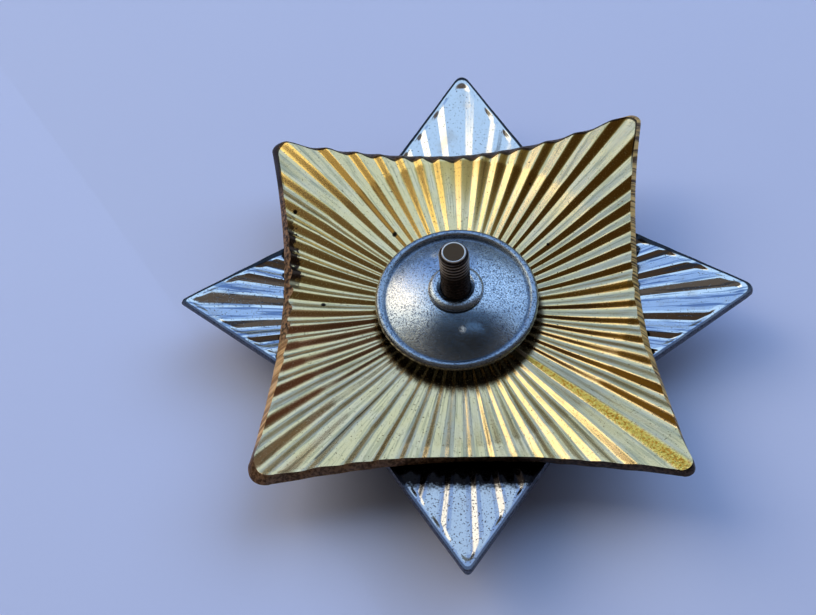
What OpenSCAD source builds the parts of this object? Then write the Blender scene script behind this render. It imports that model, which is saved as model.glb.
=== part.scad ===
// Breast star with a screw post, lying on its face: two rayed plates, a centre boss and a round screw nut.
// The origin is on the axis of the post, in the plane of the boss's front face. +Z is the back of the badge.

/* [Rays] */
// Number of rays pressed into each plate, four equal quarters
ray_count = 56; // [40:4:72]
// Height of a crest above the groove beside it, for each millimetre from the middle
ray_rise = 0.018; // [0.006:0.001:0.022]
// Lean of each crest clockwise, as a share of half a ray's width
crest_lean = 0.16; // [0:0.02:0.3]

/* [Gold star plate] */
// Distance from the middle of the plate to the middle of a side
gold_half_width = 18.13; // [17.5:0.01:19.5]
// Slope at which a side leaves its middle, towards both corners
gold_side_splay = 0.015; // [0:0.005:0.06]
// Radius of the hollow curve of a side
gold_side_radius = 101; // [95:1:160]
// Rounding of each corner, anticlockwise from the one at far right
gold_corner_round = [1.1, 1.1, 1.8, 0.9]; // [0.3:0.1:2]
// Turn of the plate against the silver one, in degrees
gold_turn = 0.95; // [-4:0.05:4]
// How far the plate sits to the right of the post and behind it
gold_shift = [0.3, 0.42]; // [0:0.01:0.8]
// Thickness of the pressed plate
gold_sheet = 0.9; // [0.7:0.05:0.95]
// Outward slant of the cut edge from back to front: the far right corner, far side, far left corner, left side
gold_slant_far = [0.75, 0.9, 0.95, 0.95, 0.85, 0.8, 0.9, 1.05]; // [0.05:0.05:1.2]
// The same on from there: the near left corner, near side, near right corner, right side, each with its half way
gold_slant_near = [0.9, 0.5, 0.1, 0.15, 0.5, 0.85, 0.65, 0.65]; // [0.05:0.05:1.2]
// Height of the middle of the plate's back
gold_middle_z = 4.26; // [4.2:0.01:4.4]
// Upward bend of each corner in the same order
gold_corner_lift = [1.35, -1.35, -1.4, -0.7]; // [-1.5:0.05:2]
// Extra length of each corner in the same order
gold_corner_extra = [-0.3, 0.2, 0.35, 0.8]; // [-0.5:0.05:1.5]

/* [Silver star plate] */
// Distance from the middle of the plate to where the sides of a point would meet
silver_apex = 29.5; // [28:0.1:30.5]
// Half of the angle of a point, in degrees
silver_half_angle = 34.15; // [31:0.05:38]
// Rounding of each point, anticlockwise from the one at the right
silver_tip_round = [0.8, 0.85, 0.2, 0.45]; // [0.2:0.05:1.2]
// How far the plate sits to the right of the post and behind it
silver_shift = [0.8, 0.41]; // [0:0.01:0.8]
// Upward bend of each point in the same order
silver_tip_lift = [-1.1, -0.4, -1.15, -0.1]; // [-1.2:0.05:0.8]
// Thickness of the pressed plate
silver_sheet = 0.6; // [0.4:0.05:0.65]
// Outward slant of the cut edge from back to front
silver_slant = 0.25; // [0.1:0.05:0.6]
// Length before a point in which the rays fade out
silver_fade = 2.4; // [1:0.1:4]

/* [Dish of the plates] */
// Rise of the gold plate's inner bowl for each square millimetre of radius squared
gold_bowl = 0.00875; // [0.0083:0.00005:0.009]
// Rise of the silver plate's inner bowl for each square millimetre of radius squared
silver_bowl = 0.00725; // [0.0067:0.00005:0.00725]
// Radius at which a bowl turns into a straight cone
bowl_r = 17; // [15:0.5:18]
// Slope of the gold plate outside its bowl
gold_slope = 0.215; // [0.19:0.005:0.24]
// Slope of the silver plate outside its bowl
silver_slope = 0.21; // [0.15:0.005:0.215]

/* [Centre boss] */
// Diameter of the boss on the front
boss_d = 24; // [20:0.5:28]
// Rounding of the boss's front edge
boss_round = 0.8; // [0.3:0.1:1.2]

/* [Screw post] */
// Outer diameter of the M3 thread
thread_d = 2.94; // [2.88:0.01:2.98]
// Diameter of the shank below the thread
shank_d = 2.46; // [2.3:0.02:2.5]
// Height of the top of the post
post_top_z = 14.9; // [13:0.1:16]
// Height of the slanted lead at the top of the post
post_lead = 0.3; // [0.2:0.05:0.5]

/* [Screw nut] */
// Diameter of the nut over its rolled rim
nut_d = 16.6; // [15:0.1:18]
// Radius of the rolled rim
rim_bead_r = 0.5; // [0.4:0.05:0.6]
// Height of the middle of the rolled rim
rim_z = 6.5; // [6.4:0.05:7]
// Height of the dome where the collar stands on it
dome_top_z = 8.15; // [7.9:0.05:8.3]
// Thickness of the pressed dish
nut_sheet = 0.5; // [0.4:0.05:0.6]
// Diameter of the bush's collar
collar_d = 5.62; // [5:0.1:6]
// Height of the collar above the dome
collar_h = 0.7; // [0.5:0.05:0.9]
// Diameter of the bush below its collar
bush_d = 4.4; // [4:0.1:4.6]

/* [Hidden] */
$fn = 96;
seat_gap = 0.05;
plate_gap = 0.26;
gold_slant = concat(gold_slant_far, gold_slant_near);
col_count = 2 * ray_count;
hole_r = shank_d / 2 + 0.12;
ring_parts = [0, 0.2, 0.4, 0.6, 0.8, 1];
arc_steps = 10;
silver_middle_z = gold_middle_z - gold_sheet - plate_gap;
gold_reach = 28.5;
silver_reach = 29;
gold_half_angle = 45 - atan(gold_side_splay + gold_half_width / gold_side_radius);
boss_top_z = silver_middle_z - silver_sheet - seat_gap;
boss_hole_z = 1;
bead_mid_r = nut_d / 2 - rim_bead_r;
groove_r = bead_mid_r - rim_bead_r;
collar_top_z = dome_top_z + collar_h;
thread_start_z = collar_top_z + 0.02;
bush_bottom_z = gold_middle_z + 3 * seat_gap;
bush_bore_r = thread_d / 2 + seat_gap;
collar_mouth_r = bush_bore_r + 0.2;

// Angle from the nearest of four tips that stand at 0, 90, 180 and 270 degrees
function tip_angle(a) = abs((a + 405) % 90 - 45);

// Number of the nearest tip, 0 to 3
function tip_number(a) = floor(((a + 405) % 360) / 90);

// Radius of an outline whose tips, each with the same half angle, are rounded: t is the angle from a tip
function rounded_tip(side_r, apex, half_angle, round_r, t) =
    let (
        round_mid = apex - round_r / sin(half_angle),
        touch = atan2(round_r * cos(half_angle), round_mid + round_r * sin(half_angle))
    )
    t < touch ? round_mid * cos(t) + sqrt(pow(round_r, 2) - pow(round_mid * sin(t), 2)) : side_r;

// Radius of the silver star's outline: a straight side seen from the middle
function silver_edge(a) =
    let (
        t = tip_angle(a),
        side_r = silver_apex * sin(silver_half_angle) / sin(silver_half_angle + t)
    )
    rounded_tip(side_r, silver_apex, silver_half_angle, silver_tip_round[tip_number(a)], t);

// Radius of a hollow side at an angle from its middle: where a line meets the side's parabola
function gold_side(off_middle) =
    let (
        s = sin(off_middle),
        b = cos(off_middle) - gold_side_splay * s
    )
    2 * gold_half_width / (b + sqrt(b * b - 2 * gold_half_width * s * s / gold_side_radius));

function gold_edge(a) =
    let (
        t = tip_angle(a),
        corner = tip_number(a),
        extra = gold_corner_extra[corner] * max(0, 1 - t / 25)
    )
    extra + rounded_tip(gold_side(45 - t), gold_side(45), gold_half_angle, gold_corner_round[corner], t);

// Height of a bowl that turns into a cone
function bowl_z(r, curve, slope) =
    r < bowl_r ? curve * r * r : curve * bowl_r * bowl_r + slope * (r - bowl_r);

// Upward bend of a plate: each tip's own lift, fading sideways and towards the middle
function tip_bend(r, a, lift, reach) =
    lift[tip_number(a)] * pow(cos(2 * tip_angle(a)), 2) * pow(r / reach, 3);

function gold_dish(r, a) =
    gold_middle_z + bowl_z(r, gold_bowl, gold_slope) + tip_bend(r, a, gold_corner_lift, gold_reach);
function silver_dish(r, a) =
    silver_middle_z + bowl_z(r, silver_bowl, silver_slope) + tip_bend(r, a, silver_tip_lift, silver_reach);

// Slant at an angle, from a table of values that stand evenly round the plate
function slant_at(table, a) =
    let (
        place = a * len(table) / 360,
        before = floor(place)
    )
    lookup(place - before, [[0, table[before % len(table)]], [1, table[(before + 1) % len(table)]]]);

// Strength of the rays: full on the gold plate, fading out before a silver tip
function gold_ray(r) = 1;
function silver_ray(r) = min(1, max(0, (silver_reach - r) / silver_fade));

// Pleated plate from closed profiles around a ring: back rows from the hole out, then front rows back in.
// Even columns are grooves and odd ones are crests, which lean clockwise. The hole is round the post, and
// the rest of the plate is shifted and turned
module rayed_plate(edge, dish, ray, sheet, slants, turn, plate_shift) {
    last = len(ring_parts) - 1;
    row_count = 2 * len(ring_parts);
    points = [
        for (row = [0 : row_count - 1])
            for (col = [0 : col_count - 1])
                let (
                    crest = col % 2 == 0 ? -0.5 : 0.5,
                    a = (col - crest_lean * (col % 2)) * 360 / col_count,
                    on_back = row <= last,
                    part = ring_parts[on_back ? row : row_count - 1 - row],
                    inset = on_back ? slant_at(slants, a) : 0,
                    r = hole_r + (edge(a) - inset - hole_r) * part,
                    shift = part > 0 ? plate_shift : [0, 0],
                    relief = crest * ray_rise * r * ray(r)
                )
                [
                    shift.x + r * cos(a + turn),
                    shift.y + r * sin(a + turn),
                    dish(r, a) + relief - (on_back ? 0 : sheet)
                ]
    ];
    faces = [
        for (row = [0 : row_count - 1])
            for (col = [0 : col_count - 1])
                let (
                    here = row * col_count,
                    next = ((row + 1) % row_count) * col_count,
                    side = (col + 1) % col_count
                )
                each [
                    [here + col, here + side, next + side],
                    [here + col, next + side, next + col]
                ]
    ];
    polyhedron(points, faces);
}

module silver_star() {
    color("lightsteelblue")
        rayed_plate(
            function(a) silver_edge(a),
            function(r, a) silver_dish(r, a),
            function(r) silver_ray(r),
            silver_sheet,
            [silver_slant],
            0,
            silver_shift
        );
}

module gold_star() {
    color("darkkhaki")
        rayed_plate(
            function(a) gold_edge(a),
            function(r, a) gold_dish(r, a),
            function(r) gold_ray(r),
            gold_sheet,
            gold_slant,
            45 + gold_turn,
            gold_shift
        );
}

// Round medallion whose back follows the bowl of the silver plate
module centre_boss() {
    boss_r = boss_d / 2;
    back_steps = 6;
    round_mid = boss_r - boss_round;
    back = [
        for (i = [back_steps : -1 : 0])
            let (
                r = hole_r + (boss_r - hole_r) * i / back_steps,
                off = norm(silver_shift),
                bend = min(0, min(silver_tip_lift)) * pow((r + off) / silver_reach, 3),
                play = ray_rise * (r + off) / 2 + 2 * silver_bowl * r * off - bend
            )
            [r, boss_top_z + bowl_z(r, silver_bowl, silver_slope) - play]
    ];
    front = [
        for (i = [0 : arc_steps])
            let (a = -90 + 90 * i / arc_steps)
            [round_mid + boss_round * cos(a), boss_round + boss_round * sin(a)]
    ];
    color("goldenrod")
        rotate_extrude()
            polygon(concat([[0, 0]], front, back, [[hole_r, boss_hole_z], [0, boss_hole_z]]));
}

// Post: a shank that stands in the boss, and the M3 thread as a cylinder of its outer diameter
module screw_post() {
    thread_r = thread_d / 2;
    color("dimgray")
        rotate_extrude()
            polygon([
                [0, boss_hole_z + seat_gap],
                [shank_d / 2, boss_hole_z + seat_gap],
                [shank_d / 2, thread_start_z],
                [thread_r, thread_start_z],
                [thread_r, post_top_z - post_lead],
                [thread_r - post_lead, post_top_z],
                [0, post_top_z]
            ]);
}

// Pressed dish: a shallow dome that runs through a groove into a rolled rim
module nut_plate() {
    inner_r = bush_d / 2 + seat_gap;
    groove_z = rim_z + 0.25 * rim_bead_r;
    seat_r = collar_d / 2;
    fall = (dome_top_z - groove_z) / (pow(groove_r, 2) - pow(seat_r, 2));
    dome = [
        for (i = [0 : arc_steps])
            let (r = inner_r + (groove_r - inner_r) * i / arc_steps)
            [r, dome_top_z - fall * max(0, r * r - seat_r * seat_r)]
    ];
    bead = [
        for (i = [0 : arc_steps])
            let (a = 150 - 330 * i / arc_steps)
            [bead_mid_r + rim_bead_r * cos(a), rim_z + rim_bead_r * sin(a)]
    ];
    under = [for (i = [arc_steps : -1 : 0]) [dome[i][0], dome[i][1] - nut_sheet]];
    color("slategray")
        rotate_extrude()
            polygon(concat(dome, bead, under));
}

// Bush: a plain barrel through the dish with a rounded collar, bored for the thread
module nut_bush() {
    collar_r = collar_d / 2;
    collar_z = dome_top_z + seat_gap;
    crown_w = collar_r - collar_mouth_r;
    crown = [
        for (i = [0 : arc_steps])
            let (a = 90 * i / arc_steps)
            [collar_mouth_r + crown_w * cos(a), collar_z + (collar_top_z - collar_z) * sin(a)]
    ];
    color("lightslategray")
        rotate_extrude()
            polygon(concat(
                [
                    [bush_bore_r, bush_bottom_z],
                    [bush_d / 2, bush_bottom_z],
                    [bush_d / 2, collar_z],
                    [collar_r, collar_z]
                ],
                crown,
                [[bush_bore_r, collar_top_z - 0.2]]
            ));
}

centre_boss();
silver_star();
gold_star();
screw_post();
nut_plate();
nut_bush();
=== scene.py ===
import bpy
import numpy as np
from mathutils import Matrix


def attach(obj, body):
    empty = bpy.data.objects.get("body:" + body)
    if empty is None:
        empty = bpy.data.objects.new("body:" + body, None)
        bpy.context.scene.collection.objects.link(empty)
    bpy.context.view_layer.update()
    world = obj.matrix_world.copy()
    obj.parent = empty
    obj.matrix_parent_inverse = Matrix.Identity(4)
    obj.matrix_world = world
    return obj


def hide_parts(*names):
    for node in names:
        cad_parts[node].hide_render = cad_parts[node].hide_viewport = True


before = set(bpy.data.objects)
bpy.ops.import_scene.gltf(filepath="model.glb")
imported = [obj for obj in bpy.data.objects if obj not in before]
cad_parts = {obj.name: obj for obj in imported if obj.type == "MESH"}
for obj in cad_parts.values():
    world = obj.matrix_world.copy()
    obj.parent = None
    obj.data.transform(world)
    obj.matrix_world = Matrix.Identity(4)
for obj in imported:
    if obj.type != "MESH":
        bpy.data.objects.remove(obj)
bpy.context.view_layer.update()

# Camera.
# A phone held about 12 cm from the badge, on the side of the near silver point, and tipped 30 degrees
# from looking straight down. The focal length and the turns were fitted to the badge's corners.
MM = 0.001
IMAGE_WIDTH = 816
focal_pixels = 1094.9
camera_place = (2.69, -57.69, 101.59)
camera_turns = {"X": 30.797, "Y": 3.933, "Z": -1.296}
camera_data = bpy.data.cameras.new("camera")
camera_data.sensor_width = 36.0
camera_data.lens = focal_pixels / IMAGE_WIDTH * camera_data.sensor_width
camera_data.clip_start = 0.005
camera = bpy.data.objects.new("camera", camera_data)
turn = Matrix.Identity(4)
for axis, degrees in camera_turns.items():
    turn = turn @ Matrix.Rotation(np.radians(degrees), 4, axis)
camera.matrix_world = Matrix.Translation([place * MM for place in camera_place]) @ turn
bpy.context.scene.collection.objects.link(camera)
bpy.context.scene.camera = camera

# Silver star plate.
# The lower plate: a star with four points, pressed with straight rays from thin white metal and
# plated. Blanking left its border turned up a little, and the rays fade out before that border.
RAYS = 56
RAY_PITCH = 2 * np.pi / RAYS
first_ray = 0.21
ray_rise = 0.018
hole_r = 1.35
bowl_r = 17.0
silver_reach = 29.0
silver_apex = 29.5
silver_half_angle = np.radians(34.15)
silver_tip_round = (0.8, 0.85, 0.2, 0.45)
silver_shift = (0.8, 0.41)
silver_tip_lift = (-1.1, -0.4, -1.15, -0.1)
silver_sheet = 0.6
silver_slant = 0.25
silver_middle_z = 3.1
silver_bowl = 0.00725
silver_slope = 0.21
silver_border = 0.8
silver_border_level = 0.15
silver_border_rise = 0.06
silver_border_rays = 0.12
silver_plain_width = 0.5
silver_fade_width = 0.45
silver_covered_r = 16.5
silver_covered_rays = 0.5
silver_bare_r = 18.5
silver_step_width = 1.5
# Ray number, drift from its even place, share of its width that the clockwise flank takes
silver_rays = [
    (0, 0.06, 0.47), (1, 0.0, 0.34), (2, -0.06, 0.3), (12, 0.0, 0.43), (13, -0.06, 0.5),
    (14, 0.13, 0.68), (15, 0.17, 0.49), (16, 0.07, 0.45), (17, 0.0, 0.42), (26, 0.17, 0.45),
    (27, 0.1, 0.58), (28, 0.27, 0.72), (29, 0.23, 0.5), (30, 0.0, 0.45), (41, 0.0, 0.4),
    (42, 0.05, 0.42), (43, 0.01, 0.36), (44, -0.02, 0.38), (53, -0.21, 0.2), (54, -0.31, 0.3),
    (55, -0.33, 0.38),
]


def tip_angle(a):
    """Angle from the nearest of four tips, which stand a quarter turn apart, the first at zero."""
    return np.abs((a + np.pi / 4) % (np.pi / 2) - np.pi / 4)


def tip_value(a, values):
    """The value of the nearest of the four tips."""
    number = ((a + np.pi / 4) % (2 * np.pi)) // (np.pi / 2)
    return np.asarray(values)[number.astype(int) % 4]


def rounded_tip(side_r, apex, half_angle, round_r, t):
    """Radius of an outline at angle t from a tip: on a circle tucked into the tip, then on the side.

    The circle's middle lies on the tip's own line, and the side takes over where the two touch."""
    round_mid = apex - round_r / np.sin(half_angle)
    touch = np.arctan2(round_r * np.cos(half_angle), round_mid + round_r * np.sin(half_angle))
    inside = np.maximum(round_r**2 - (round_mid * np.sin(t)) ** 2, 0)
    return np.where(t < touch, round_mid * np.cos(t) + np.sqrt(inside), side_r)


def bowl_height(r, curve, slope):
    """Height of a dished plate: a parabola near the middle, and a straight cone outside bowl_r."""
    return np.where(r < bowl_r, curve * r * r, curve * bowl_r**2 + slope * (r - bowl_r))


def tip_bend(r, a, lift, reach):
    """Upward bend near each tip: its own lift, fading as cosine squared sideways and as radius cubed."""
    return tip_value(a, lift) * np.cos(2 * tip_angle(a)) ** 2 * (r / reach) ** 3


def even_round(values, a):
    """A value that runs straight from each of a table's to the next, once round the plate."""
    table = list(values) + [values[0]]
    return np.interp(a / (2 * np.pi) % 1, np.linspace(0, 1, len(table)), table)


def smooth(x):
    """0 below 0, 1 above 1, and an even S between them."""
    x = np.clip(x, 0, 1)
    return x * x * (3 - 2 * x)


def ray_columns(rays, seed):
    """Angle and height of each column of a plate.

    A ray has a narrow crest between two rounded grooves. It drifts from its even place by a share of a
    ray's width, and its clockwise flank takes its own share of that width. Height falls from the crest
    to each groove along a flank that is steepest half way, with a parabola for the rounding at each end.
    Columns are closest together there, and each ray is pressed a little unlike the others."""
    draw = np.random.default_rng(seed)
    lowest_crest, highest_crest = 0.9, 1.05
    crest_round, groove_round = 0.1, 0.14
    steepening = 0.05
    down = np.array([0.04, 0.09, 0.18, 0.33, 0.5, 0.67, 0.82, 0.93])
    number, drift, share = np.array(rays).T
    ray = np.arange(RAYS + 1)[:, None]
    taken = np.interp(ray, number, share, period=RAYS)
    middle = ray + first_ray + np.interp(ray, number, drift, period=RAYS)
    grooves = middle - taken / 2
    groove, next_groove = grooves[:-1], grooves[1:]
    crest = (middle + taken / 2)[:-1]
    rising = crest - (crest - groove) * down[::-1]
    falling = crest + (next_groove - crest) * down
    angle = np.concatenate([groove, rising, crest, falling], axis=1) * RAY_PITCH
    fall = np.concatenate([[1.0], down[::-1], [0.0], down])
    height = 0.5 - fall + steepening * np.sin(2 * np.pi * fall)
    height += np.maximum(fall - 1 + groove_round, 0) ** 2 / (2 * groove_round)
    height -= np.maximum(crest_round - fall, 0) ** 2 / (2 * crest_round)
    crest_height = draw.uniform(lowest_crest, highest_crest, RAYS)[:, None]
    height = -0.5 + (height + 0.5) * crest_height
    return angle.ravel(), height.ravel()


def closed_mesh(name, points, with_poles=False):
    """A closed mesh from a grid of points in mm, whose columns run round an axis.

    The last row joins the first, or with poles the first and the last row each close in a fan."""
    rows, columns = points.shape[:2]
    index = np.arange(rows * columns).reshape(rows, columns)
    side = np.roll(index, -1, axis=1)
    quads = np.stack([index, np.roll(index, -1, axis=0), np.roll(side, -1, axis=0), side], axis=-1)
    vertices = points.reshape(-1, 3)
    fans = np.zeros((0, 3), int)
    if with_poles:
        quads = quads[:-1]
        pole = np.full(columns, rows * columns)
        first_fan = np.stack([pole, index[0], side[0]], axis=-1)
        last_fan = np.stack([pole + 1, side[-1], index[-1]], axis=-1)
        fans = np.concatenate([first_fan, last_fan])
        vertices = np.concatenate([vertices, [points[0].mean(0), points[-1].mean(0)]])
    mesh = bpy.data.meshes.new(name)
    mesh.from_pydata((vertices * MM).tolist(), [], quads.reshape(-1, 4).tolist() + fans.tolist())
    mesh.shade_smooth()
    mesh.set_sharp_from_angle(angle=np.radians(38))
    piece = bpy.data.objects.new(name, mesh)
    bpy.context.scene.collection.objects.link(piece)
    return piece


def rayed_plate(name, edge, dish, fade, border, sheet, slant, skew, turn, shift, rays):
    """A pleated plate: rows run from the hole out over the back, down the cut edge and back in.

    The back's height is the dish, plus each ray's height times the radius and ray_rise, less what
    fades near the edge, plus the border. The cut edge slants out from the back to the front, by the
    skew more on a crest than in a groove, and bulges like half a sine wave. The front is the back
    without its border, lowered by the sheet, and its rays flatten out at the edge. The plate's middle
    moves over from the post's axis to the shift within a short way of the hole."""
    back_steps, cut_steps, front_steps = 60, 9, 14
    back_crowding, front_crowding = 1.8, 1.3
    cut_bulge = 0.05
    front_edge_rays, front_gain, front_gain_width = 0.3, 0.5, 1.5
    shift_width = 2
    angle, height = ray_columns(*rays)
    a = angle[None, :]
    height = height[None, :]
    rim = edge(a)
    inset = slant(a) + skew(a) * height
    out = 1 - (1 - np.linspace(0, 1, back_steps)[:, None]) ** back_crowding
    back_r = hole_r + (rim - inset - hole_r) * out
    back_z = dish(back_r, a) + height * ray_rise * back_r * fade(back_r, a) + border(back_r, a)
    front_r = hole_r + (rim - hole_r) * (1 - np.linspace(0, 1, front_steps)[:, None] ** front_crowding)
    flattened = front_edge_rays + front_gain * np.clip((rim - front_r) / front_gain_width, 0, 1)
    front_z = dish(front_r, a) + height * ray_rise * front_r * fade(front_r, a) * flattened - sheet
    cut = np.linspace(0, 1, cut_steps + 1)[1:-1, None]
    bulge = cut_bulge * np.sin(np.pi * cut)
    cut_r = back_r[-1:] + (front_r[:1] - back_r[-1:]) * cut + bulge
    cut_z = back_z[-1:] + (front_z[:1] - back_z[-1:]) * cut + bulge * 0.5
    r = np.concatenate([back_r, cut_r, front_r])
    z = np.concatenate([back_z, cut_z, front_z])
    turned = a + np.radians(turn)
    off_axis = np.clip((r - hole_r) / shift_width, 0, 1)
    x = off_axis * shift[0] + r * np.cos(turned)
    y = off_axis * shift[1] + r * np.sin(turned)
    piece = closed_mesh(name, np.stack([x, y, z], axis=-1))
    in_from_edge = np.concatenate([back_r[-1:] - back_r, 0 * cut_r, rim - front_r])
    normals = np.empty(r.size * 3)
    piece.data.vertices.foreach_get("normal", normals)
    for key, values in {"from_edge": in_from_edge, "faces_near": -normals[1::3]}.items():
        attribute = piece.data.attributes.new(key, "FLOAT", "POINT")
        attribute.data.foreach_set("value", values.ravel())
    rows = np.arange(r.shape[0])
    part = np.select([rows < back_steps - 1, rows < back_steps + cut_steps - 1], [0, 1], 2)
    piece.data.polygons.foreach_set("material_index", np.repeat(part, a.shape[1]))
    return piece


def silver_edge(a):
    """Radius of the silver star: each side is a straight line between a point and an inner corner."""
    t = tip_angle(a)
    side_r = silver_apex * np.sin(silver_half_angle) / np.sin(silver_half_angle + t)
    return rounded_tip(side_r, silver_apex, silver_half_angle, tip_value(a, silver_tip_round), t)


def silver_inside(r, a):
    """Distance in from the silver star's side, square to that side."""
    return (silver_edge(a) - r) * np.sin(silver_half_angle + tip_angle(a))


def silver_dish(r, a):
    """Height without rays and border: the bowl, and the bend of each tip."""
    bend = tip_bend(r, a, silver_tip_lift, silver_reach)
    return silver_middle_z + bowl_height(r, silver_bowl, silver_slope) + bend


def silver_fade(r, a):
    """Share of the rays' height: an S in from the border, times an S out from under the gold plate."""
    whole = smooth((silver_inside(r, a) - silver_plain_width) / silver_fade_width)
    bare = smooth((r - silver_covered_r) / silver_step_width)
    by_border = silver_border_rays + (1 - silver_border_rays) * whole
    return by_border * (silver_covered_rays + (1 - silver_covered_rays) * bare)


def silver_upturn(r, a):
    """Rise of the border: an S one border wide that ends just inside the side, where it is level.

    A second S leaves the border out where the gold plate covers it."""
    at_side = smooth(1 + silver_border_level - silver_inside(r, a) / silver_border)
    return silver_border_rise * at_side * smooth((r - silver_bare_r) / silver_step_width)


silver_plate = rayed_plate(
    "silver_rays",
    edge=silver_edge,
    dish=silver_dish,
    fade=silver_fade,
    border=silver_upturn,
    sheet=silver_sheet,
    slant=lambda a: silver_slant,
    skew=lambda a: 0.0,
    turn=0,
    shift=silver_shift,
    rays=(silver_rays, 3),
)


class Socket:
    """An output in a material's node tree. Arithmetic on it adds Math nodes and gives a new output."""

    def __init__(self, tree, output=None):
        self.tree = tree
        self.output = output

    def add(self, kind, settings, inputs, output=0):
        """Adds a node of any kind: first its settings, then the values or links of its sockets."""
        node = self.tree.nodes.new(kind)
        for name, value in settings.items():
            setattr(node, name, value)
        for key, value in inputs.items():
            if isinstance(value, Socket):
                self.tree.links.new(value.output, node.inputs[key])
            else:
                node.inputs[key].default_value = value
        return Socket(self.tree, node.outputs[output])

    def maths(self, operation, *values):
        return self.add("ShaderNodeMath", {"operation": operation}, dict(enumerate(values)))

    def __add__(self, other):
        return self.maths("ADD", self, other)

    def __sub__(self, other):
        return self.maths("SUBTRACT", self, other)

    def __rsub__(self, other):
        return self.maths("SUBTRACT", other, self)

    def __mul__(self, other):
        return self.maths("MULTIPLY", self, other)

    def __truediv__(self, other):
        return self.maths("DIVIDE", self, other)

    def __pow__(self, other):
        return self.maths("POWER", self, other)

    def __abs__(self):
        return self.maths("ABSOLUTE", self)

    __radd__ = __add__
    __rmul__ = __mul__

    def part(self, number):
        """One number of a place: 0 for its x, 1 for its y, 2 for its z."""
        return self.add("ShaderNodeSeparateXYZ", {}, {"Vector": self}, number)

    def rise(self, low, high):
        """0 up to low, 1 from high on, and smooth between them; with low above high it falls."""
        ends = {"Value": self, "From Min": low, "From Max": high}
        return self.add("ShaderNodeMapRange", {"interpolation_type": "SMOOTHSTEP"}, ends)

    def near(self, x, y, inner, outer):
        """1 within the inner distance of a point in plan, 0 beyond the outer one."""
        flat = self.add("ShaderNodeMapping", {}, {"Vector": self, "Scale": (1, 1, 0)})
        away = flat.add("ShaderNodeVectorMath", {"operation": "DISTANCE"}, {0: flat, 1: (x, y, 0)}, 1)
        return away.rise(outer, inner)

    def tint(self, colour, other):
        """Goes from one colour to the other as this value goes from 0 to 1."""
        ends = [end if isinstance(end, Socket) else (*end, 1) for end in (colour, other)]
        return self.add("ShaderNodeMix", {"data_type": "RGBA"}, {0: self, 6: ends[0], 7: ends[1]}, 2)

    def noise(self, scale, detail=2.0, stretch=(1, 1, 1)):
        """Noise on this place in mm, with that many features to a millimetre."""
        place = self.add("ShaderNodeMapping", {}, {"Vector": self, "Scale": stretch})
        values = {"Vector": place, "Scale": scale, "Detail": detail, "Roughness": 0.6}
        return self.add("ShaderNodeTexNoise", {}, values)


def new_finish(name, metallic=1.0, specular=0.5):
    """A finish with these two values all over. Gives the material, its shader and its place in mm."""
    material = bpy.data.materials.new(name)
    material.use_nodes = True
    shader = material.node_tree.nodes["Principled BSDF"]
    shader.inputs["Metallic"].default_value = metallic
    shader.inputs["Specular IOR Level"].default_value = specular
    place = Socket(material.node_tree).add("ShaderNodeTexCoord", {}, {}, "Object")
    place = place.add("ShaderNodeMapping", {}, {"Vector": place, "Scale": (1 / MM,) * 3})
    return material, shader, place


def link_finish(shader, colour, roughness, height, metallic=None):
    """Links colour, roughness, fine relief in mm, and the share of metal where that varies."""
    bump = height.add("ShaderNodeBump", {}, {"Height": height, "Strength": 1.0, "Distance": MM})
    varying = {"Base Color": colour, "Roughness": roughness, "Normal": bump}
    if metallic is not None:
        varying["Metallic"] = metallic
    for key, value in varying.items():
        value.tree.links.new(value.output, shader.inputs[key])


def along_rays(place, shift):
    """A place in mm as rays round the middle, from -28 to 28 with 0 at +X, and as mm out from it."""
    centred = place.add("ShaderNodeMapping", {}, {"Vector": place, "Location": (-shift[0], -shift[1], 0)})
    x = centred.part(0)
    y = centred.part(1)
    around = y.maths("ARCTAN2", y, x) / RAY_PITCH
    out = (x * x + y * y) ** 0.5
    return out.add("ShaderNodeCombineXYZ", {}, {0: around, 1: out})


def own(place, name):
    """The plate's own value of that name."""
    return place.add("ShaderNodeAttribute", {"attribute_name": name}, {}, 2)


# The plated back: bright and stained in places; its dark flanks on the arms to the left and right are
# painted shade
clear_plating = (0.84, 0.86, 0.84)
stained_plating = (0.72, 0.66, 0.58)
arm_shade_plating = (0.6, 0.57, 0.56)
flank_shade_plating = (0.36, 0.29, 0.22)
blue_tarnish = (0.16, 0.24, 0.38)
pit_dark = (0.1, 0.09, 0.09)
near_rim_shade = (0.16, 0.165, 0.19)
far_rim_shade = (0.03, 0.034, 0.042)
gold_edge_shadow_black = (0.01, 0.008, 0.008)
silver_metal, shader, place = new_finish("bright_plating")
x_mm = place.part(0)
y_mm = place.part(1)
streak_place = along_rays(place, silver_shift)
ray = abs(streak_place.part(0))
streaks = streak_place.noise(7.0, 2.0, (1, 0.02, 1))
grain = place.noise(9.0, 3.0)
stain = place.noise(0.35, 4.0).rise(0.5, 0.75)
near_arm = y_mm.rise(-14, -17)
far_arm = y_mm.rise(15, 18)
side_arm = (x_mm * x_mm).rise(150, 220)
middle_flank = ray.rise(0.9, 0.7) + ray.rise(26.7, 26.9)
# Painted reflection of the dark room on the flanks of the left and right arms that face the near side
flank_shade = own(place, "faces_near").rise(0.17, 0.25) * (1 - 0.8 * middle_flank) * side_arm
more_pits = 0.04 * y_mm.rise(0, -18) + 0.03 * x_mm.rise(-12, -20)
pits = (place.noise(5.5, 2.0) + more_pits).rise(0.64, 0.7)
tarnish = 0.8 * streaks.rise(0.5, 0.6) * side_arm
far_side = side_arm * (x_mm * x_mm).rise(600, 280) * y_mm.rise(0, 2)
# Wear and painted shade along the rim: a band in from the edge, wider and darker on the far side
worn_and_shaded_rim = (own(place, "from_edge") - 0.45 * far_side).rise(0.42, 0.28)
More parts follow.
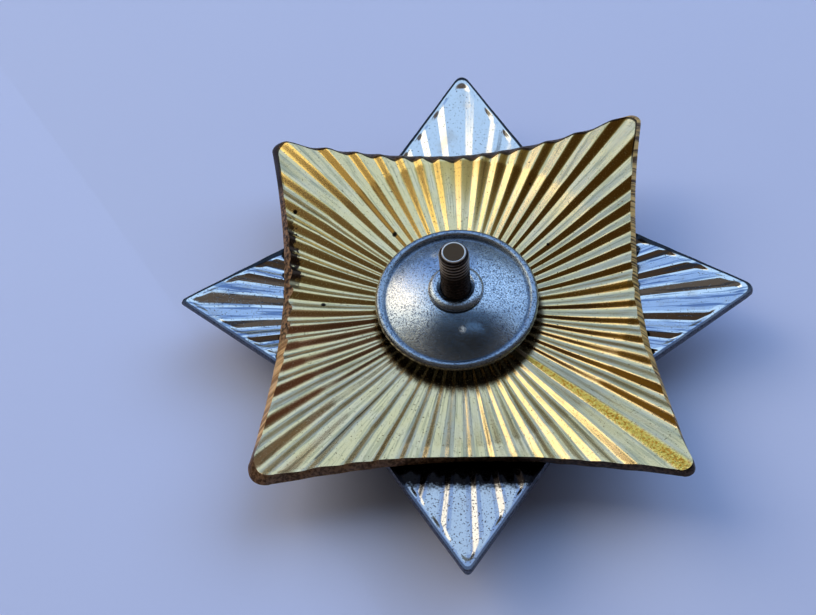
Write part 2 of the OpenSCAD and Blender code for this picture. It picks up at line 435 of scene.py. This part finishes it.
# Painted shadow of the gold plate's near edge on the near arm: black, with a ragged edge
gold_edge_shadow = (y_mm + 1.6 * (place.noise(3.5, 5.0) - 0.5)).rise(-20.7, -19.7) * y_mm.rise(-15.0, -17.0)
silver_colour = stain.tint(clear_plating, stained_plating)
silver_colour = flank_shade.tint(silver_colour, flank_shade_plating)
# Painted shade: the near arm, and less the far arm, made darker
silver_colour = (0.75 * near_arm + 0.35 * far_arm).tint(silver_colour, arm_shade_plating)
silver_colour = pits.tint(silver_colour, pit_dark)
silver_colour = tarnish.tint(silver_colour, blue_tarnish)
silver_colour = worn_and_shaded_rim.tint(silver_colour, y_mm.rise(-1, 1).tint(near_rim_shade, far_rim_shade))
silver_colour = gold_edge_shadow.tint(silver_colour, gold_edge_shadow_black)
link_finish(
    shader,
    silver_colour,
    0.08 + 0.08 * grain + 0.1 * stain + 0.2 * pits + 0.15 * worn_and_shaded_rim,
    0.004 * streaks + 0.0022 * grain - 0.006 * pits,
)
# The cut edge, and the front, which lies face down and takes the same finish
dark_cut = (0.04, 0.045, 0.055)
pale_cut = (0.17, 0.17, 0.19)
silver_cut, shader, place = new_finish("cut_edge_of_white_metal")
cut_grain = place.noise(6.0, 3.0)
cut_colour = cut_grain.rise(0.35, 0.65).tint(dark_cut, pale_cut)
link_finish(shader, cut_colour, 0.32 + 0.25 * cut_grain, 0.02 * cut_grain)
for metal in (silver_metal, silver_cut, silver_cut):
    silver_plate.data.materials.append(metal)
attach(silver_plate, "star")
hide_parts("silver_star")

# Gold star plate.
# The upper plate: a thicker brass pressing with four corners and hollow sides, laid across the
# silver one. Its cut edge slants outwards, brown with bare metal on two sides, and painted shade and light.
gold_half_width = 18.13
gold_side_splay = 0.015
gold_side_radius = 101.0
gold_corner_round = (1.1, 1.1, 1.8, 0.9)
gold_reach = 28.5
gold_turn = 0.95
gold_shift = (0.3, 0.42)
gold_sheet = 0.9
gold_slant = (0.75, 0.9, 0.95, 0.95, 0.85, 0.8, 0.9, 1.05, 0.9, 0.5, 0.1, 0.15, 0.5, 0.85, 0.65, 0.65)
gold_skew = (-0.1, -0.35, -0.2, 0.6, 0.0, -0.2, -0.1, 0.2)
# Ray number, drift from its even place, share of its width that the clockwise flank takes
gold_rays = [
    (0, 0.17, 0.41), (1, 0.14, 0.44), (3, 0.14, 0.48), (4, 0.11, 0.46), (5, 0.08, 0.5),
    (6, 0.1, 0.54), (7, 0.3, 0.68), (8, 0.41, 0.5), (9, 0.41, 0.42), (10, 0.35, 0.49),
    (12, 0.25, 0.52), (13, 0.17, 0.57), (14, 0.25, 0.62), (15, 0.28, 0.42), (16, 0.18, 0.36),
    (17, 0.03, 0.31), (19, -0.09, 0.41), (21, 0.12, 0.53), (22, 0.21, 0.4), (23, 0.14, 0.33),
    (25, 0.11, 0.4), (26, 0.07, 0.5), (28, 0.0, 0.5), (30, 0.06, 0.46), (31, 0.0, 0.36),
    (32, 0.0, 0.42), (33, -0.02, 0.46), (34, -0.02, 0.54), (35, 0.05, 0.46), (36, 0.05, 0.36),
    (38, 0.0, 0.45), (39, -0.1, 0.45), (40, -0.22, 0.35), (41, -0.37, 0.35), (43, -0.2, 0.4),
    (44, -0.3, 0.41), (45, -0.27, 0.53), (47, -0.33, 0.48), (48, -0.26, 0.53), (49, -0.11, 0.65),
    (50, -0.01, 0.46), (52, 0.06, 0.48), (54, -0.11, 0.5),
]
gold_ray_rise = (1.0, 1.0, 1.12, 1.2, 1.15, 1.05, 1.12, 1.0)
gold_rim_rays = 0.92
gold_fade_width = 0.5
gold_middle_z = 4.26
gold_bowl = 0.00875
gold_slope = 0.215
gold_corner_lift = (1.35, -1.35, -1.4, -0.7)
gold_corner_extra = (-0.3, 0.2, 0.35, 0.8)
gold_corner_width = np.radians(25)


def gold_side(off_middle):
    """Radius of a hollow side at an angle from its middle: where a line meets the side's parabola."""
    s = np.sin(off_middle)
    b = np.cos(off_middle) - gold_side_splay * s
    return 2 * gold_half_width / (b + np.sqrt(b * b - 2 * gold_half_width * s * s / gold_side_radius))


def gold_edge(a):
    """Radius of the gold star: hollow sides, rounded corners and each corner's own extra length."""
    t = tip_angle(a)
    half_angle = np.pi / 4 - np.arctan(gold_side_splay + gold_half_width / gold_side_radius)
    extra = tip_value(a, gold_corner_extra) * np.maximum(0, 1 - t / gold_corner_width)
    side_r = gold_side(np.pi / 4 - t)
    return extra + rounded_tip(side_r, gold_side(np.pi / 4), half_angle, tip_value(a, gold_corner_round), t)


def gold_dish(r, a):
    """Height without rays: the bowl, and the bend of each corner."""
    bend = tip_bend(r, a, gold_corner_lift, gold_reach)
    return gold_middle_z + bowl_height(r, gold_bowl, gold_slope) + bend


def gold_fade(r, a):
    """Share of the rays' height: an S in from the edge of the back, times its own table round the plate."""
    inside = gold_edge(a) - even_round(gold_slant, a) - r
    by_edge = gold_rim_rays + (1 - gold_rim_rays) * smooth(inside / gold_fade_width)
    return by_edge * even_round(gold_ray_rise, a)


gold_plate = rayed_plate(
    "gold_rays",
    edge=gold_edge,
    dish=gold_dish,
    fade=gold_fade,
    border=lambda r, a: 0.0,
    sheet=gold_sheet,
    slant=lambda a: even_round(gold_slant, a),
    skew=lambda a: even_round(gold_skew, a),
    turn=45 + gold_turn,
    shift=gold_shift,
    rays=(gold_rays, 11),
)
# The back: two tones of bright brass, with darker streaks and specks
bright_brass = (1.0, 0.74, 0.35)
pale_brass = (0.97, 0.74, 0.42)
dull_streak = (0.54, 0.45, 0.23)
speck_brown = (0.12, 0.09, 0.04)
gold_metal, shader, place = new_finish("pressed_brass")
x_mm = place.part(0)
y_mm = place.part(1)
streak_place = along_rays(place, gold_shift)
ray = streak_place.part(0)
out_mm = streak_place.part(1)
from_edge = own(place, "from_edge")
streaks = streak_place.noise(6.0, 2.0, (1, 0.03, 1))
grain = place.noise(8.0, 3.0)
specks = place.noise(6.5, 2.0).rise(0.64, 0.7)
gold_colour = place.noise(0.25, 3.0).rise(0.35, 0.7).tint(bright_brass, pale_brass)
gold_colour = (0.6 * streaks.rise(0.5, 0.62)).tint(gold_colour, dull_streak)
# Painted reflection of the dark room: the flanks that face the near side, outside the near quarter, each
# part in its own brown
left_brown = (0.5, 0.33, 0.1)
left_far_brown = (0.9, 0.62, 0.2)
right_brown = (0.32, 0.17, 0.03)
left_near_brown = (0.5, 0.23, 0.11)
inner_left_brown = (0.28, 0.14, 0.06)
inner_right_brown = (0.14, 0.07, 0.02)
near_quarter = ray.rise(-22.1, -21.9) * ray.rise(-6.6, -6.7)
inner_left = out_mm.rise(18, 13) * ray.rise(-27, -26.5) * ray.rise(-21, -21.9) * (1 - near_quarter)
inner_right = out_mm.rise(18, 12) * ray.rise(-6.7, -6.4) * ray.rise(0, -1)
near_facing_shade = (own(place, "faces_near") + 0.05 * inner_left).rise(0.18, 0.26) * (1 - near_quarter)
brown = y_mm.rise(3, 11).tint(left_brown, left_far_brown)
brown = x_mm.rise(-3, 6).tint(brown, right_brown)
brown = (y_mm.rise(1, -4) * x_mm.rise(0, -5)).tint(brown, left_near_brown)
brown = inner_left.tint(brown, inner_left_brown)
brown = inner_right.tint(brown, inner_right_brown)
gold_colour = near_facing_shade.tint(gold_colour, brown)
# The glittering band of bare, rough brass that runs to the right near corner
dark_glitter = (0.75, 0.38, 0.02)
light_glitter = (1.0, 0.84, 0.18)
glitter = ray.rise(-7.2, -7.05) * ray.rise(-6.68, -6.84) * out_mm.rise(29.5, 28.0)
glitter_colour = place.noise(4.5, 3.0).rise(0.4, 0.52).tint(dark_glitter, light_glitter)
gold_colour = glitter.tint(gold_colour, glitter_colour)
# Painted shade along the crease near the left near corner, which crosses its ray at a small angle
crease_shade = (0.05, 0.04, 0.02)
crease_ray = -19.33
crease_lean = 0.0185
off_crease = abs(ray + crease_lean * out_mm - crease_ray)
crease = 0.7 * off_crease.rise(0.06, 0.02) * out_mm.rise(22.9, 22.5) * out_mm.rise(10, 13)
gold_colour = crease.tint(gold_colour, crease_shade)
# A dark brown line along the far edge, and the mottled tarnish along the left one
far_edge_brown = (0.07, 0.045, 0.025)
tarnish_brown = (0.05, 0.03, 0.02)
far_line = (from_edge + 0.25 * place.noise(1.5, 3.0)).rise(0.44, 0.32) * y_mm.rise(13, 16)
gold_colour = far_line.tint(gold_colour, far_edge_brown)
blotches = (place.noise(2.0, 4.0) + 0.35 * from_edge.rise(1.6, 0.1)).rise(0.62, 0.74)
blotches = blotches * x_mm.rise(-14, -16) * y_mm.rise(0.5, 3.0) * y_mm.rise(12, 8)
gold_colour = blotches.tint(gold_colour, tarnish_brown)
# Painted shadow in a ring round the nut's rim, and five pits: x and y of each, and its radius
nut_shadow_brown = (0.15, 0.1, 0.05)
pit_black = (0.02, 0.015, 0.01)
gold_pits = [(-13.7, -0.1, 0.3), (-6.6, 8.9, 0.32), (9.6, 6.9, 0.2), (-17.2, 10.9, 0.3), (8.0, 14.1, 0.14)]
nut_shadow_ring = place.near(0.3, -1.0, 8.2, 8.8) * (1 - place.near(0, 0, 6.4, 7.4))
gold_colour = nut_shadow_ring.tint(gold_colour, nut_shadow_brown)
gold_colour = specks.tint(gold_colour, speck_brown)
for pit_x, pit_y, pit_r in gold_pits:
    gold_colour = place.near(pit_x, pit_y, pit_r * 0.6, pit_r).tint(gold_colour, pit_black)
link_finish(
    shader,
    gold_colour,
    0.15 + 0.1 * grain + 0.2 * specks + 0.12 * glitter,
    0.012 * streaks + 0.004 * grain - 0.008 * specks + 0.16 * glitter * place.noise(3.5, 2.0),
    metallic=1 - 0.85 * glitter,
)
# The cut edge, partly its own brown and bare metal and partly painted shade and light: brown or nearly
# black on the near and far sides, serrated bare metal on the right, and on the left spotted brown that
# turns to serrated copper along the near half
dark_low, dark_high = (0.03, 0.018, 0.01), (0.1, 0.06, 0.035)
brown_low, brown_high = (0.09, 0.045, 0.02), (0.26, 0.14, 0.07)
right_low, right_high = (0.12, 0.06, 0.02), (0.95, 0.58, 0.18)
copper_low, copper_high = (0.42, 0.2, 0.07), (0.98, 0.6, 0.26)
spotted_low, spotted_high = (0.03, 0.018, 0.012), (0.4, 0.22, 0.11)
gold_cut, shader, place = new_finish("browned_and_shaded_cut_edge", metallic=0.4, specular=0.15)
x_mm = place.part(0)
y_mm = place.part(1)
cut_lines = along_rays(place, gold_shift).noise(9.0, 2.0, (1, 0.02, 1))
cut_grain = place.noise(3.0, 4.0)
mottle = cut_grain.rise(0.4, 0.6)
serrated = cut_lines.rise(0.4, 0.6)
left_side = x_mm.rise(-15, -17)
right_side = x_mm.rise(15, 17)
near_side = y_mm.rise(-15, -17) * x_mm.rise(-21.2, -20.6)
dark_edge = mottle.tint(dark_low, dark_high)
near_edge = x_mm.rise(-3, 3).tint(mottle.tint(brown_low, brown_high), dark_edge)
right_edge = serrated.tint(right_low, right_high)
copper_edge = serrated.tint(copper_low, copper_high)
spotted_edge = (mottle * y_mm.rise(15, 12)).tint(spotted_low, spotted_high)
left_edge = y_mm.rise(-3, -7).tint(spotted_edge, copper_edge)
cut_colour = right_side.tint(dark_edge, right_edge)
cut_colour = left_side.tint(cut_colour, left_edge)
cut_colour = near_side.tint(cut_colour, near_edge)
link_finish(shader, cut_colour, 0.35 + 0.2 * cut_grain, 0.05 * cut_lines + 0.03 * cut_grain)
# The front, which lies face down: dull, and painted near black as the shade it lies in
front_shade_dark = (0.03, 0.02, 0.01)
front_shade_pale = (0.05, 0.035, 0.02)
gold_front, shader, place = new_finish("shaded_dull_front")
front_grain = place.noise(1.0)
link_finish(shader, front_grain.tint(front_shade_dark, front_shade_pale), 0.7 + 0.1 * front_grain, 0.01 * front_grain)
for metal in (gold_metal, gold_cut, gold_front):
    gold_plate.data.materials.append(metal)
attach(gold_plate, "star")
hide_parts("gold_star")

# Centre boss.
# The round brass medallion under the plates, which the badge lies on. The photograph hides it, so
# it stays a plain turned blank with fine turning marks.
boss_brass = (0.8, 0.62, 0.3)
worn_boss_brass = (0.6, 0.45, 0.22)
boss_metal, shader, place = new_finish("turned_brass")
turning = along_rays(place, (0, 0)).noise(9.0, 2.0, (0.02, 1, 1))
wear = place.noise(0.6, 4.0).rise(0.4, 0.7)
link_finish(shader, wear.tint(boss_brass, worn_boss_brass), 0.24 + 0.16 * wear, 0.004 * turning)
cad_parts["centre_boss"].data.materials.clear()
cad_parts["centre_boss"].data.materials.append(boss_metal)

# Screw post.
# An M3 steel screw that holds the star together and carries the nut. Its thread starts well inside
# the nut and ends in a small turned lead at the top, and the steel has gone nearly black.
crest_r = 1.47
root_r = 1.2
shank_r = 1.23
thread_pitch = 0.5
post_bottom_z = 1.05
post_top_z = 14.9
post_lead = 0.36
post_top_dish = 0.03
thread_bottom_z = 5.2
thread_run_out = 0.4


def screw_rows():
    """Radius and height of the post over its whole length, on a grid of rows and columns.

    On the thread the radius follows a saw of even flanks along the turning height, cut flat at the
    crest and rounded at the root, and held inside the lead, which slants at 45 degrees. The thread
    runs out into the shank, and the top is dished by the fourth power of its radius."""
    rows, columns, top_rows = 620, 72, 12
    crest_flat, flank_length, root_rounding = 0.12, 0.7, 0.12
    around = np.arange(columns) / columns
    z = np.linspace(post_top_z, post_bottom_z, rows)[:, None]
    phase = (z / thread_pitch - around[None, :]) % 1
    flank = np.abs(phase - 0.5) * 2
    depth = np.clip((flank - crest_flat) / flank_length, 0, 1)
    depth = depth - root_rounding * np.sin(2 * np.pi * depth) * depth
    thread_r = crest_r - (crest_r - root_r) * depth
    lead_r = crest_r - post_lead + post_top_z - z
    shank = np.clip((thread_bottom_z - z) / thread_run_out, 0, 1)
    r = np.minimum(thread_r * (1 - shank) + shank_r * shank, lead_r)
    turned = 2 * np.pi * around[None, :] + 0 * z
    thread = np.stack([r * np.cos(turned), r * np.sin(turned), z + 0 * r], axis=-1)
    out = np.linspace(0.1, 1, top_rows)[:, None]
    top_r = out * r[:1]
    top_z = post_top_z - post_top_dish * (1 - out**4) + 0 * top_r
    top = np.stack([top_r * np.cos(turned[:1]), top_r * np.sin(turned[:1]), top_z], axis=-1)
    return np.concatenate([top[:-1], thread])


post = closed_mesh("threaded_post", screw_rows(), with_poles=True)
# Black scale, worn off the top; the upper crests and the top's rim are lighter as bare metal and as painted
# highlight, the rim brightest
scale_black = (0.02, 0.017, 0.016)
scale_grey = (0.06, 0.045, 0.04)
crest_highlight_grey = (0.4, 0.36, 0.33)
top_brown = (0.1, 0.062, 0.036)
top_rim_highlight = (0.9, 0.86, 0.8)
post_metal, shader, place = new_finish("blackened_steel")
height_mm = place.part(2)
out_mm = along_rays(place, (0, 0)).part(1)
scale_marks = place.noise(4.0, 4.0)
worn_and_lit_crest = out_mm.rise(1.36, 1.45) * height_mm.rise(11.5, 13.5)
worn_top = height_mm.rise(post_top_z - 0.12, post_top_z - 0.04)
worn_and_lit_top_rim = worn_top * out_mm.rise(1.0, 1.07)
post_colour = scale_marks.rise(0.4, 0.7).tint(scale_black, scale_grey)
post_colour = worn_and_lit_crest.tint(post_colour, crest_highlight_grey)
post_colour = worn_top.tint(post_colour, top_brown)
post_colour = worn_and_lit_top_rim.tint(post_colour, top_rim_highlight)
link_finish(shader, post_colour, 0.34 + 0.2 * scale_marks, 0.012 * scale_marks)
post.data.materials.append(post_metal)
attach(post, "star")
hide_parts("screw_post")

# Nut plate.
# A round dish of pressed steel, plated a dull blue grey. It is domed, with a shallow groove inside
# a rolled rim, and something has raised a small pip on its near side.
nut_r = 8.3
rim_bead_r = 0.5
rim_z = 6.5
dome_top_z = 8.15
nut_sheet = 0.5
seat_r = 2.81
nut_hole_r = 2.25
pip_place = (1.7, -5.0)
pip_r = 1.3
pip_rise = 0.13
pip_narrowing = 0.95


def revolved(r, z, columns):
    """Points of a section carried round the axis."""
    around = np.arange(columns) / columns * 2 * np.pi
    r = np.asarray(r)[:, None]
    z = np.asarray(z)[:, None] + 0 * around
    return np.stack([r * np.cos(around), r * np.sin(around), z], axis=-1)


def nut_section():
    """Section of the dish: flat at the hole, a parabola for the dome, and an arc for the rim's bead.

    The groove lies where the dome meets the bead, and the underside is the dome less the sheet."""
    bead_mid_r = nut_r - rim_bead_r
    groove_r = bead_mid_r - rim_bead_r
    groove_z = rim_z + 0.25 * rim_bead_r
    fall = (dome_top_z - groove_z) / (groove_r**2 - seat_r**2)
    dome_r = np.concatenate([np.linspace(nut_hole_r, seat_r, 6)[:-1], np.linspace(seat_r, groove_r, 60)])
    dome_z = dome_top_z - fall * np.maximum(dome_r**2 - seat_r**2, 0)
    bead_a = np.radians(np.linspace(150, -175, 40))
    bead_r = bead_mid_r + rim_bead_r * np.cos(bead_a)
    bead_z = rim_z + rim_bead_r * np.sin(bead_a)
    r = np.concatenate([dome_r, bead_r, dome_r[::-1]])
    z = np.concatenate([dome_z, bead_z, dome_z[::-1] - nut_sheet])
    return r, z


nut_points = revolved(*nut_section(), 288)
# The pip rises by one less its distance squared, to the power 1.5
pip_x = nut_points[..., 0] - pip_place[0]
pip_y = nut_points[..., 1] - pip_place[1]
pip_out = np.hypot(pip_x, pip_y * pip_narrowing) / pip_r
nut_points[..., 2] += pip_rise * np.clip(1 - pip_out**2, 0, 1) ** 1.5
nut_dish = closed_mesh("nut_dish", nut_points)
# Grey plating, finely pitted, with painted highlights on the left, the right and the pip, and painted shade
# low on the dome
grey_plating = (0.4, 0.48, 0.58)
pale_plating = (0.56, 0.64, 0.72)
lit_worn_white = (0.95, 0.9, 0.84)
glint_white = (0.9, 0.95, 1.0)
dome_shade = (0.06, 0.1, 0.14)
pip_highlight_white = (1.0, 0.96, 0.85)
scratch_pale = (1.0, 0.85, 0.7)
rim_grey = (0.2, 0.25, 0.32)
nut_speck = (0.08, 0.1, 0.14)
nut_metal, shader, place = new_finish("dull_plated_steel")
y_mm = place.part(1)
grain = place.noise(7.0, 3.0)
coarse = place.noise(1.6, 4.0)
specks = place.noise(6.5, 2.0).rise(0.53, 0.62)
# A pale patch on the left: a worn spot, and a painted highlight of the warm light
lit_worn_patch = place.near(-5.0, 0.6, 0.6, 3.6)
# Painted glints on the right: white dots where the frosted plating catches the light
glitter = place.near(4.2, 0.6, 1.2, 4.2)
lower_dome = place.near(0.9, -4.2, 2.0, 5.2) * y_mm.rise(-1.5, -3.0)
# Painted highlight on the pip
pip_highlight = 0.8 * place.near(0.6, -4.4, 0.1, 0.5) * place.noise(5.0, 2.0).rise(0.35, 0.5)
scratch = place.near(-2.1, 4.6, 0.2, 0.7) * place.noise(6.0, 1.0).rise(0.4, 0.5)
rolled_rim = 0.5 * (1 - place.near(0, 0, 6.9, 7.3))
nut_colour = coarse.rise(0.35, 0.65).tint(grey_plating, pale_plating)
nut_colour = lit_worn_patch.tint(nut_colour, lit_worn_white)
nut_colour = (glitter * place.noise(9.0, 1.0).rise(0.52, 0.6)).tint(nut_colour, glint_white)
nut_colour = (0.85 * lower_dome).tint(nut_colour, dome_shade)
nut_colour = pip_highlight.tint(nut_colour, pip_highlight_white)
nut_colour = scratch.tint(nut_colour, scratch_pale)
nut_colour = rolled_rim.tint(nut_colour, rim_grey)
nut_colour = (specks * (0.9 - 0.5 * lit_worn_patch)).tint(nut_colour, nut_speck)
link_finish(
    shader,
    nut_colour,
    0.17 + 0.14 * grain + 0.2 * pip_highlight,
    0.012 * grain + 0.006 * coarse - 0.006 * specks + 0.01 * glitter * place.noise(6.0, 1.0),
)
nut_dish.data.materials.append(nut_metal)
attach(nut_dish, "screw_nut")
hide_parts("nut_plate")

# Nut bush.
# The threaded bush pressed through the dish. Its collar stands on the dome with a rounded shoulder,
# and a shallow recess runs round the post. It is plated as the dish is.
collar_top_z = 8.85
collar_z = dome_top_z + 0.05
collar_mouth_r = 1.95
bush_r = 2.2
bush_bottom_z = 4.41
bush_bore_r = 1.52


def bush_section():
    """Section of the bush: a small recess at the bore, a quarter round shoulder, a plain barrel."""
    quarter = np.radians(np.linspace(90, 0, 16))
    shoulder_r = collar_mouth_r + (seat_r - collar_mouth_r) * np.cos(quarter)
    shoulder_z = collar_z + (collar_top_z - collar_z) * np.sin(quarter) ** 0.8
    recess_r = np.array([bush_bore_r, 1.56, 1.68, 1.8, 1.88])
    recess_z = collar_top_z - np.array([0.16, 0.13, 0.1, 0.06, 0.02])
    r = np.concatenate([recess_r, shoulder_r, [bush_r, bush_r, bush_bore_r]])
    z = np.concatenate([recess_z, shoulder_z, [collar_z, bush_bottom_z, bush_bottom_z]])
    return r, z


bush = closed_mesh("nut_collar", revolved(*bush_section(), 144))
bush.data.materials.append(nut_metal)
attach(bush, "screw_nut")
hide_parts("nut_bush")

# Floor and light.
# A pale blue-grey sheet of paper under the badge, lit by one large window on the far side: cool sky
# over most of its width and warm light at its left.
floor_half_size = 1.5
floor_z = -0.02 * MM
blue_paper = (0.7, 0.745, 0.98)
pale_blue_paper = (0.74, 0.785, 1.0)
corners = [(-1, -1), (1, -1), (1, 1), (-1, 1)]
floor_points = [(x * floor_half_size, y * floor_half_size, floor_z) for x, y in corners]
floor_mesh = bpy.data.meshes.new("floor")
floor_mesh.from_pydata(floor_points, [], [(0, 1, 2, 3)])
floor = bpy.data.objects.new("floor", floor_mesh)
bpy.context.scene.collection.objects.link(floor)
paper, shader, place = new_finish("pale_paper", metallic=0.0, specular=0.2)
paper_tone = place.noise(0.02, 2.0)
paper_colour = paper_tone.tint(blue_paper, pale_blue_paper)
link_finish(shader, paper_colour, 0.7 + 0.1 * paper_tone, 0.01 * place.noise(1.5, 3.0))
floor_mesh.materials.append(paper)
ceiling_z = 0.6


def light_panel(name, light, from_x, near_y, to_x, far_y):
    """A flat lamp that faces down over a rectangle of the ceiling, with that radiance."""
    data = bpy.data.lights.new(name, "AREA")
    data.shape = "RECTANGLE"
    data.size = to_x - from_x
    data.size_y = far_y - near_y
    strength = max(light)
    data.color = [part / strength for part in light]
    data.energy = strength * np.pi * data.size * data.size_y
    lamp = bpy.data.objects.new(name, data)
    lamp.location = ((from_x + to_x) / 2, (near_y + far_y) / 2, ceiling_z)
    lamp.visible_camera = False
    bpy.context.scene.collection.objects.link(lamp)
    return lamp


warm = (1.7, 1.62, 1.4)
sill = (0.32, 0.27, 0.18)
sky = (0.5, 0.76, 1.15)
frame_white = (0.42, 0.5, 0.65)
haze = (0.26, 0.46, 0.9)
wall = (0.12, 0.16, 0.18)
room_side = (0.07, 0.055, 0.045)
# Panes of the window: light, from x, near y, to x, far y, all on the plane of the ceiling
window_panes = (
    (sill, -1.2, -0.3, -0.38, 0.04),
    (warm, -0.9, 0.04, -0.6, 0.11),
    (warm, -0.4, 0.05, -0.2, 0.11),
    (warm, -0.9, 0.11, -0.24, 0.18),
    (warm, -1.3, 0.18, -0.3, 0.3),
    (warm, -1.3, 0.3, -0.42, 0.42),
    (warm, -1.3, 0.42, -0.5, 0.52),
    (warm, -1.4, 0.52, -0.67, 0.8),
    (warm, -1.5, 0.8, -0.8, 1.2),
    (sky, -0.2, 0.055, 0.14, 0.1),
    (frame_white, 0.14, 0.045, 0.37, 0.1),
    (sky, -0.24, 0.1, 0.4, 0.18),
    (sky, 0.5, 0.05, 1.5, 0.18),
    (sky, -0.3, 0.18, 1.5, 0.3),
    (sky, -0.42, 0.3, 1.5, 0.42),
    (sky, -0.5, 0.42, 1.5, 0.52),
    (haze, -0.67, 0.52, 0.2, 0.8),
    (haze, -0.8, 0.8, 0.2, 1.6),
    (sky, 0.2, 0.52, 1.5, 1.2),
    (wall, 0.2, 1.2, 1.5, 1.6),
    (wall, -1.5, 1.6, 1.5, 3.0),
)
for number, pane in enumerate(window_panes):
    light_panel(f"pane_{number}", *pane)
# The room behind the camera, which shows in the plates' dark flanks and lights no dull surface
light_panel("room", room_side, -1.5, -1.5, 1.5, 0.04).visible_diffuse = False
# Scattered light of the same window, which shows on the dull paper and in no reflection
light_panel("warm_scatter", (3.1, 2.85, 2.7), -1.1, 0.1, -0.3, 0.8).visible_glossy = False
light_panel("cool_scatter", (1.1, 1.5, 2.4), 0.1, 0.2, 1.1, 1.0).visible_glossy = False
world = bpy.data.worlds.new("room")
world.use_nodes = True
room = world.node_tree.nodes["Background"]
room.inputs["Color"].default_value = (0.05, 0.046, 0.046, 1)
room.inputs["Strength"].default_value = 1.0
bpy.context.scene.world = world
bpy.context.scene.view_settings.view_transform = "Standard"
